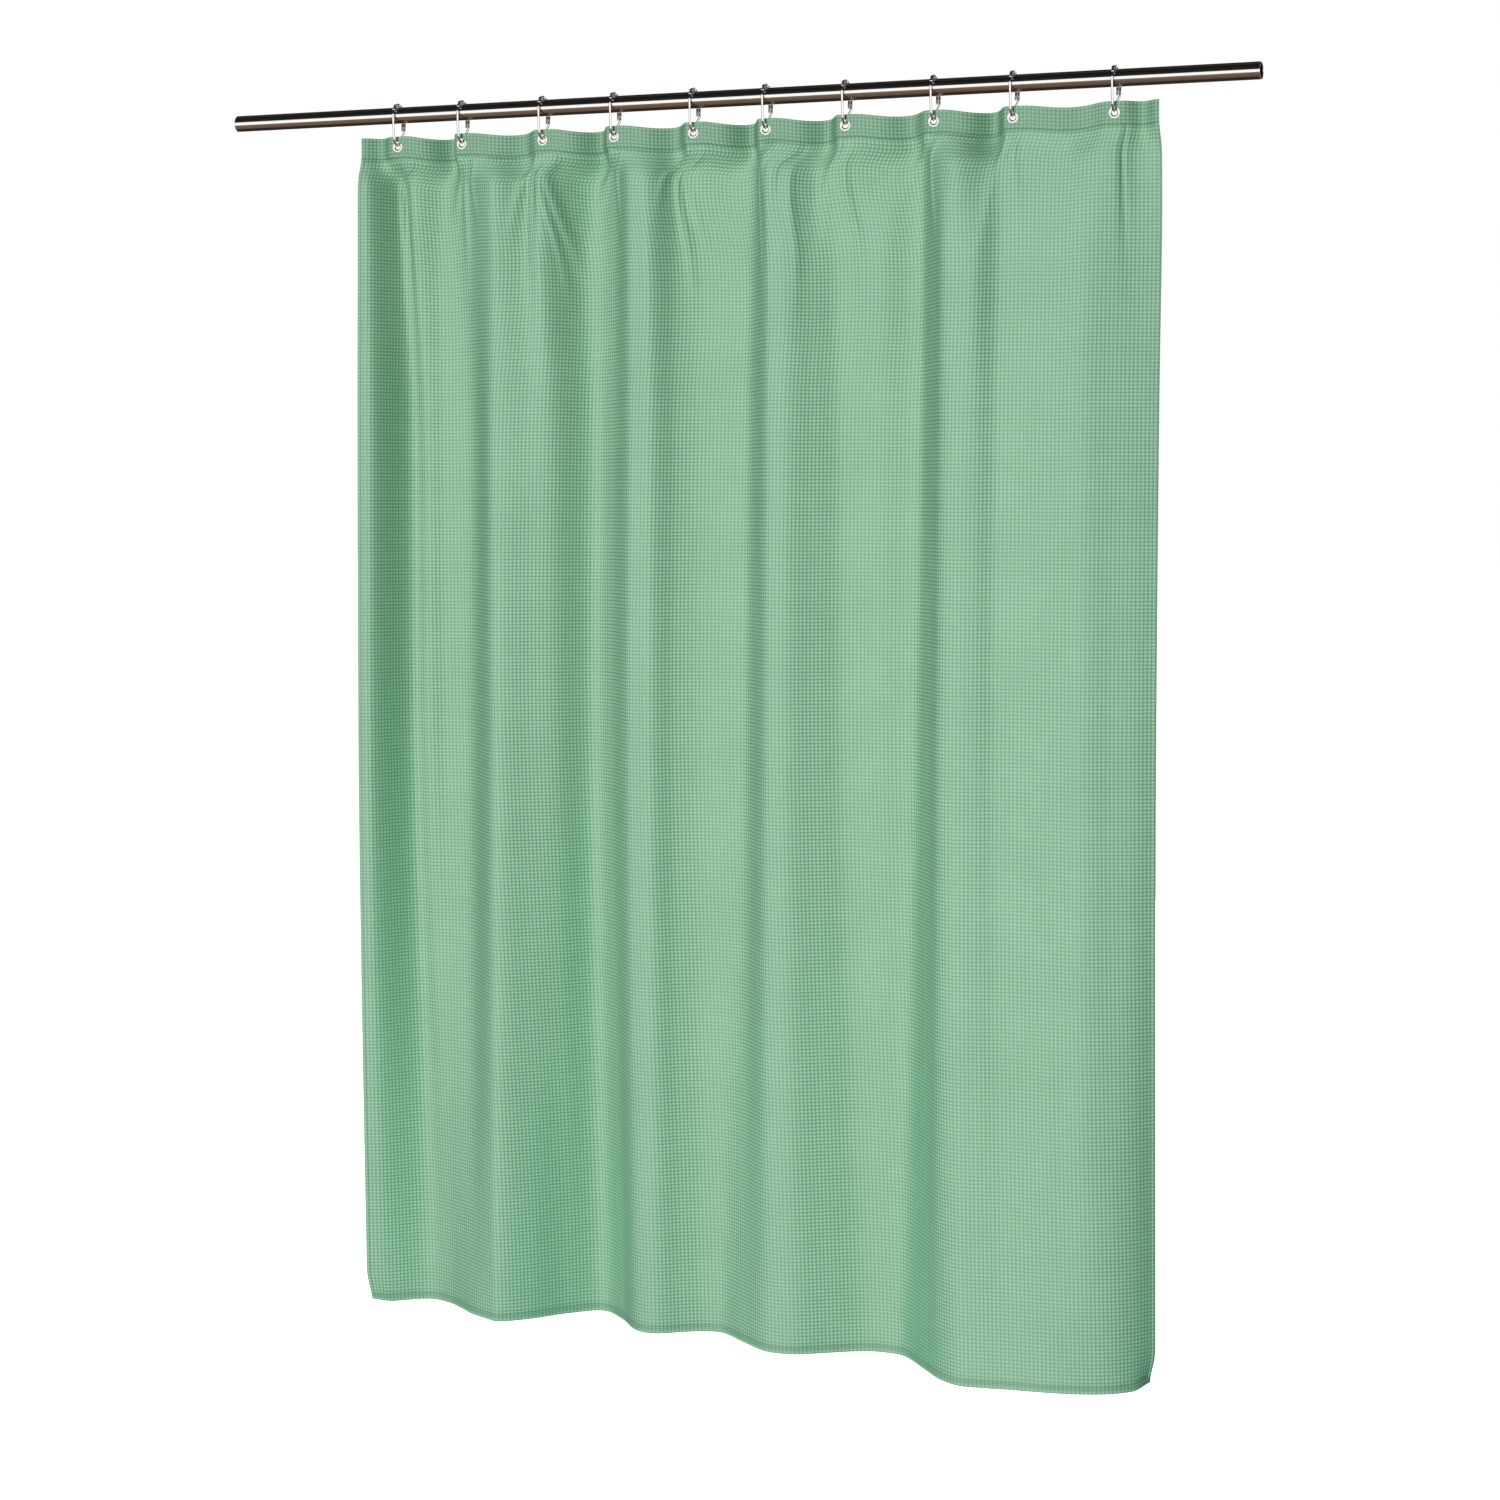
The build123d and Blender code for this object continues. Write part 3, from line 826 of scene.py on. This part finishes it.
    def band_plane(self, s: Array, v: Array, centres: Array) -> tuple[Array, Array, Array]:
        """Fill the ruled band with quads, leaving a round hole at each eyelet.

        The square of cells about each eyelet is left out and filled with loops of points that
        ease from the square's edge to the hole's circle.

        Args:
            s: Places of the columns.
            v: Places of the rows.
            centres: The eyelets' places along s.

        Returns:
            The flat places of all points, the quads, and each hole's rim as point numbers.
        """
        half, cells, layers = self.patch_half, self.patch_cells, self.patch_layers
        columns = len(s)
        flat = np.stack(np.meshgrid(s, v), -1).reshape(-1, 2)
        quads = grid_quads(len(v), columns)
        middle = flat[quads].mean(1)
        gap = np.abs(middle[:, :1] - centres[None, :])
        inside = (gap.min(1) < half) & (np.abs(middle[:, 1] - self.eyelet_v) < half)
        first_row = len(self.top_rows)
        first_columns = np.searchsorted(s, centres - half - 1e-9)
        steps = np.arange(cells)
        row = np.concatenate([0 * steps, steps, 0 * steps + cells, cells - steps]) + first_row
        column = np.concatenate([steps, 0 * steps + cells, cells - steps, 0 * steps])
        rim = row[None, :] * columns + column[None, :] + first_columns[:, None]
        out = flat[rim] - np.stack([centres, np.full_like(centres, self.eyelet_v)], -1)[:, None, :]
        circle = self.hole_radius * out / np.linalg.norm(out, axis=-1, keepdims=True)
        shares = np.arange(1, layers + 1)[:, None, None, None] / layers
        added = flat[rim][None] + shares * (circle - out)[None]
        numbers = len(flat) + np.arange(added[..., 0].size).reshape(added.shape[:-1])
        loops = np.concatenate([rim[None], numbers])
        after = np.roll(loops, -1, axis=2)
        fill = np.stack([loops[:-1], after[:-1], after[1:], loops[1:]], -1).reshape(-1, 4)
        flat = np.concatenate([flat, added.reshape(-1, 2)])
        return flat, np.concatenate([quads[~inside], fill]), loops[-1]

    def band_lift(self, flat: Array) -> Array:
        """Half the band's thickness at flat places, rounded off as a quarter circle at its edges."""
        from_level = np.minimum(flat[:, 1], self.band_depth - flat[:, 1])
        from_end = np.minimum(flat[:, 0], self.drape.flat_width - flat[:, 0])
        from_edge = np.minimum(from_level, from_end)
        rounded = np.sqrt(1 - (1 - np.clip(from_edge / self.band_rounding, 0, 1)) ** 2)
        return self.band_thickness / 2 * np.maximum(rounded, self.thinnest)

    @staticmethod
    def wall(loop: Array, back_first: int) -> Array:
        """Quads that join a closed loop of front points to the same points on the back."""
        after = np.roll(loop, -1)
        return np.stack([loop, after, after + back_first, loop + back_first], -1)

    def rolled(
        self, name: str, s: Array, v: Array, across: tuple[float, float], width: float, thick: float
    ) -> bpy.types.Object:
        """A closed hem: a flattened round section carried along a line on the cloth.

        Args:
            name: The piece's name.
            s: Flat places along the line.
            v: Flat places down the line.
            across: Unit direction of the hem's width on the flat cloth, as (s, v).
            width: The hem's width.
            thick: Its thickness.

        Returns:
            The hem.
        """
        sides = self.hem_sides
        turn = np.linspace(0, 2 * math.pi, sides, endpoint=False)
        cos, sin = np.cos(turn), np.sin(turn)
        square = np.sign(cos) * np.abs(cos) ** 0.7 * width / 2
        lift = np.sign(sin) * np.abs(sin) ** 0.7 * thick / 2
        ss = s[:, None] + across[0] * square[None, :]
        vv = v[:, None] + across[1] * square[None, :]
        points = self.drape.at(ss, vv, np.broadcast_to(lift, ss.shape)).reshape(-1, 3)
        quads = grid_quads(len(s), sides, closed_columns=True)
        cap = np.array([[k, k + 1, sides - k - 2, sides - k - 1] for k in range(sides // 2 - 1)])
        far = cap[:, ::-1] + (len(s) - 1) * sides
        flat = np.stack([ss, vv], -1).reshape(-1, 2)
        faces = np.concatenate([quads, cap[:, ::-1], far[:, ::-1]])
        piece = mesh_object(name, points, faces, flat, self.drape.steepness(ss, vv))
        piece.data.materials.append(self.hem_cloth)
        return piece

    def bottom_hem(self) -> bpy.types.Object:
        """The narrow rolled hem along the foot of the cloth."""
        s = np.linspace(0.4 * MM, self.drape.flat_width - 0.4 * MM, 421)
        v = np.full_like(s, self.drape.flat_length - self.hem_depth / 2)
        piece = self.rolled("rolled_bottom_hem", s, v, (0.0, -1.0), self.hem_depth, self.hem_thickness)
        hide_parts("bottom_hem")
        return piece

    def side_hem(self, side: Side) -> bpy.types.Object:
        """The narrow rolled hem down one side."""
        v = np.linspace(self.band_depth - 3 * MM, self.drape.flat_length - 3 * MM, 321)
        middle = self.side_width / 2
        place = middle if side is Side.LEFT else self.drape.flat_width - middle
        s = np.full_like(v, place)
        name = f"rolled_{side.value}_hem"
        piece = self.rolled(name, s, v, (1.0, 0.0), self.side_width, self.side_thickness)
        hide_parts(f"{side.value}_hem")
        return piece

    def stitching(self) -> list[bpy.types.Object]:
        """Lines of stitches: under the band, above the bottom hem and inside both side hems."""
        width, length = self.drape.flat_width, self.drape.flat_length
        along = np.arange(8 * MM, width - 8 * MM, self.stitch_pitch)
        down = np.arange(self.band_depth + 4 * MM, length - self.hem_depth - 3 * MM, self.stitch_pitch)
        band, hem = self.band_depth - 2.4 * MM, length - self.hem_depth + 1.9 * MM
        hem_lift = self.hem_thickness / 2 - self.stitch_sink
        side_lift = self.side_thickness / 2 - self.stitch_sink
        left, right = self.side_stitch, width - self.side_stitch
        lines = (
            ("band_stitching", along, np.full_like(along, band), True, self.band_thickness / 2),
            ("bottom_stitching", along, np.full_like(along, hem), True, hem_lift),
            ("left_stitching", np.full_like(down, left), down, False, side_lift),
            ("right_stitching", np.full_like(down, right), down, False, side_lift),
        )
        return [self.stitches(*line) for line in lines]

    def stitches(self, name: str, s: Array, v: Array, sideways: bool, lift: float) -> bpy.types.Object:
        """A line of short plump stitches, each a six-sided spindle lying half sunk on the cloth.

        A spindle's radius is the square root of the sine of half a turn along it.

        Args:
            name: The piece's name.
            s: Flat places of the stitches along the cloth.
            v: Flat places of the stitches down the cloth.
            sideways: Whether they lie along the cloth rather than down it.
            lift: Height of their centres off the cloth's middle surface.

        Returns:
            All the stitches as one piece.
        """
        loops, sides = 5, 6
        t = np.linspace(0.04, 0.96, loops)
        turn = np.arange(sides) * math.pi / (sides // 2)
        radius = self.stitch_width / 2 * np.sqrt(np.sin(math.pi * t))[:, None]
        along = np.broadcast_to(((t - 0.5) * self.stitch_length)[:, None], (loops, sides))
        aside, up = radius * np.cos(turn), radius * np.sin(turn)
        ds, dv = (along, aside) if sideways else (aside, along)
        ss, vv = s[:, None, None] + ds, v[:, None, None] + dv
        points = self.drape.at(ss, vv, lift + np.broadcast_to(up, ss.shape)).reshape(-1, 3)
        one = grid_quads(loops, sides, closed_columns=True)
        ends = np.array([[0, 1, 2, 3], [0, 3, 4, 5]])
        one = np.concatenate([one, ends[:, ::-1], ends + (loops - 1) * sides])
        if not sideways:
            one = one[:, ::-1]
        quads = (one[None] + loops * sides * np.arange(len(s))[:, None, None]).reshape(-1, 4)
        piece = mesh_object(name, points, quads)
        piece.data.materials.append(self.thread)
        return piece


@dataclass
class Rod:
    """The straight tube the rings run on."""

    metal: bpy.types.Material
    wall: float = 1.0 * MM
    land: float = 1.5 * MM
    ease: float = 0.25 * MM
    corner: float = 0.07 * MM
    around: int = 128

    def build(self) -> bpy.types.Object:
        """A smooth tube in the CAD rod's place: circles swept along X, joined at both ends.

        The outline of one end, from the bore round the eased rim to the outside, and the same
        outline mirrored at the other end are turned together about the X axis.
        """
        low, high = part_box("rod")
        outer = (high.z - low.z) / 2
        inner = outer - self.wall
        land, ease, corner = self.land, self.ease, self.corner
        end = np.array([
            (land, inner), (ease, inner), (corner, inner + corner), (0, inner + ease),
            (0, outer - ease), (corner, outer - corner), (ease, outer), (land, outer),
        ])
        profile = np.concatenate([end + [low.x, 0], end[::-1] * [-1, 1] + [high.x, 0]])
        turn = np.linspace(0, 2 * math.pi, self.around, endpoint=False)
        x = np.broadcast_to(profile[:, :1], (len(profile), self.around))
        y, z = profile[:, 1:] * np.cos(turn), profile[:, 1:] * np.sin(turn)
        points = np.stack([x, y, z], -1).reshape(-1, 3)
        quads = grid_quads(len(profile), self.around, closed_rows=True, closed_columns=True)
        piece = mesh_object("smooth_rod", points, quads[:, ::-1])
        piece.data.materials.append(self.metal)
        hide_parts("rod")
        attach(piece, "rod")
        return piece


# ---- Studio -----------------------------------------------------------------------


# What polished metal sees around it: height, from 0 straight down to 1 straight up, and colour.
REFLECTED_ROOM = (
    (0.00, (0.15, 0.10, 0.07)),
    (0.20, (0.24, 0.165, 0.11)),
    (0.31, (0.30, 0.21, 0.14)),
    (0.33, (1.50, 1.50, 1.50)),
    (0.58, (1.50, 1.50, 1.50)),
    (0.63, (0.03, 0.03, 0.03)),
    (1.00, (0.01, 0.01, 0.01)),
)


@dataclass(frozen=True)
class Lamp:
    """A square area light, hung at a place and turned towards a point."""

    name: str
    place: tuple[float, float, float]
    aim: tuple[float, float, float]
    size: float
    power: float

    def hang(self) -> None:
        """Put the light into the scene, unseen in polished metal."""
        data = bpy.data.lights.new(self.name, "AREA")
        data.shape = "SQUARE"
        data.size = self.size
        data.energy = self.power
        lamp = bpy.data.objects.new(self.name, data)
        lamp.location = self.place
        facing = Vector(self.aim) - Vector(self.place)
        lamp.rotation_euler = facing.to_track_quat("-Z", "Y").to_euler()
        lamp.visible_glossy = False
        bpy.context.scene.collection.objects.link(lamp)


@dataclass(frozen=True)
class Studio:
    """Floor, lights, surroundings and camera."""

    eye: tuple[float, float, float] = (2.542, -4.187, -0.591)
    yaw: float = 21.74
    pitch: float = 2.008
    lens: float = 72.80
    lift: float = -0.0975
    floor_drop: float = 0.12
    floor_reach: float = 60.0
    ambient: float = 0.15
    dim_wall: tuple[float, float, float] = (0.04, 0.03, 0.025)
    dim_middle: float = 0.325
    dim_reach: float = 0.425
    dim_left: float = -0.80
    lamps: tuple[Lamp, ...] = (
        Lamp("key", (0.9, -6.0, -0.5), (0.85, 0.0, -0.95), 1.5, 412.0),
        Lamp("low fill", (1.0, -2.6, -2.1), (0.9, 0.0, -1.75), 1.2, 9.0),
        Lamp("back light", (0.9, 6.0, -0.5), (0.85, 0.0, -0.95), 1.5, 380.0),
    )

    def build(self, lowest: float, floor: bpy.types.Material) -> None:
        """Set the whole studio up around an object whose lowest point is given."""
        self.camera()
        self.floor(lowest, floor)
        self.surroundings()
        for lamp in self.lamps:
            lamp.hang()

    def camera(self) -> None:
        """Stand the camera in front of the curtain's right-hand part, looking to its left."""
        data = bpy.data.cameras.new("camera")
        data.lens = self.lens
        data.sensor_width = 36.0
        data.shift_y = self.lift
        data.clip_end = 200.0
        camera = bpy.data.objects.new("camera", data)
        camera.location = self.eye
        camera.rotation_euler = (math.radians(90 - self.pitch), 0, math.radians(self.yaw))
        bpy.context.scene.collection.objects.link(camera)
        bpy.context.scene.camera = camera

    def floor(self, lowest: float, material: bpy.types.Material) -> None:
        """Lay a wide level floor a little under the hem."""
        turns = np.array([(-1, -1, 0), (1, -1, 0), (1, 1, 0), (-1, 1, 0)])
        corners = self.floor_reach * turns + [0, 0, lowest - self.floor_drop]
        floor = mesh_object("studio_floor", corners, np.array([[0, 1, 2, 3]]))
        floor.data.materials.append(material)
        floor.visible_glossy = False
        floor.visible_diffuse = False
        floor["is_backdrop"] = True

    def surroundings(self) -> None:
        """Make the world: white for the camera, soft even light for the cloth, a room for metal.

        Metal sees a dark ceiling, bright walls in front and behind, dim ones at the sides and a
        warm floor. The dim walls lie where a direction's Y is near its middle value, or its X is
        far to the left.
        """
        world = bpy.data.worlds.new("studio")
        bpy.context.scene.world = world
        g = Graph(world)
        parts = g.node("ShaderNodeSeparateXYZ")
        g.link(g.node("ShaderNodeTexCoord").outputs["Generated"], parts.inputs[0])
        aside = g.math("COMPARE", parts.outputs[1], self.dim_middle, self.dim_reach)
        leftward = g.math("LESS_THAN", parts.outputs[0], self.dim_left)
        height = g.math("MULTIPLY_ADD", parts.outputs[2], 0.5, 0.5)
        dimmed = g.math("MAXIMUM", leftward, aside)
        path = g.node("ShaderNodeLightPath")
        metal = self.either(g, dimmed, self.glow(g, self.room(g, height)), self.glow(g, self.dim_wall))
        unseen = self.either(g, path.outputs["Is Glossy Ray"], self.glow(g, (1, 1, 1), self.ambient), metal)
        g.finish(self.either(g, path.outputs["Is Camera Ray"], unseen, self.glow(g, (1, 1, 1))))

    @staticmethod
    def room(g: Graph, height: bpy.types.NodeSocket) -> bpy.types.NodeSocket:
        """Colour the reflected room by height."""
        ramp = g.node("ShaderNodeValToRGB")
        marks = ramp.color_ramp.elements
        for index, (place, colour) in enumerate(REFLECTED_ROOM):
            mark = marks[index] if index < 2 else marks.new(place)
            mark.position = place
            mark.color = (*colour, 1.0)
        g.link(height, ramp.inputs[0])
        return ramp.outputs[0]

    @staticmethod
    def glow(g: Graph, colour: object, strength: float = 1.0) -> bpy.types.Node:
        """Add a background of a colour, given as a socket or an RGB triple."""
        made = g.node("ShaderNodeBackground")
        made.inputs["Strength"].default_value = strength
        if isinstance(colour, bpy.types.NodeSocket):
            g.link(colour, made.inputs["Color"])
        else:
            made.inputs["Color"].default_value = (*colour, 1.0)
        return made

    @staticmethod
    def either(
        g: Graph, share: bpy.types.NodeSocket, first: bpy.types.Node, second: bpy.types.Node
    ) -> bpy.types.Node:
        """Add a mix of two shaders, the second by the given share."""
        made = g.node("ShaderNodeMixShader")
        g.link(share, made.inputs[0])
        g.link(first.outputs[0], made.inputs[1])
        g.link(second.outputs[0], made.inputs[2])
        return made


def plain(bounds: object) -> object:
    """Turn vectors and tuples into plain lists of numbers."""
    if isinstance(bounds, (list, tuple, Vector)):
        return [plain(part) for part in bounds]
    return float(bounds)


def main() -> None:
    """Load the frame, build every sub-assembly around it and set up the studio."""
    logging.basicConfig(level=logging.INFO)
    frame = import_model()
    cad_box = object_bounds()
    chrome = MetalFinish("ring_chrome", (0.75, 0.74, 0.72), 0.10).material()
    rod_metal = MetalFinish("rod_chrome", (0.70, 0.68, 0.66), 0.10, grain=60.0).material()
    nickel = MetalFinish("eyelet_nickel", (0.80, 0.79, 0.77), 0.22).material()
    for name, node in frame["nodes"].items():
        node.data.materials.clear()
        node.data.materials.append(chrome if name.startswith("ring") else nickel)
    count = len([name for name in frame["nodes"] if name.startswith("ring_balls")])
    boxes = [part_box(f"ring_balls_{number:02d}") for number in range(1, count + 1)]
    rings = np.array([(low.x + high.x) / 2 for low, high in boxes])
    header_low, header_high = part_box("header_band")
    drape = Drape(rings=rings, left=header_low.x, right=header_high.x, top=header_high.z)
    LOG.info("fold scale by level: %s", np.round(drape.scale[::24], 3))
    LOG.info("piece %s", Rod(rod_metal).build().name)
    cloth = WaffleFinish().material()
    # Darker copies of the cloth for the doubled band and hem are painted shade, each with a painted seam
    # groove line.
    band_cloth = WaffleFinish(name="band_cloth", painted_shade_tone=0.82, seams=(32.6 * MM,)).material()
    hem_cloth = WaffleFinish(name="hem_cloth", painted_shade_tone=0.95, seams=(1.8209,), seam_width=1.2 * MM).material()
    thread = ThreadFinish().material()
    curtain = Curtain(drape, cloth, band_cloth, hem_cloth, thread, (float(rings[0]), 0.0, 0.0))
    for piece in curtain.build():
        LOG.info("piece %s: %d faces", piece.name, len(piece.data.polygons))
    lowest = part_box("bottom_hem")[0].z
    Studio().build(lowest, FloorFinish().material())
    bpy.context.scene.view_settings.view_transform = "Standard"
    {"cad": plain(cad_box), "visual": plain(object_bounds())}


if __name__ == "__main__":
    main()
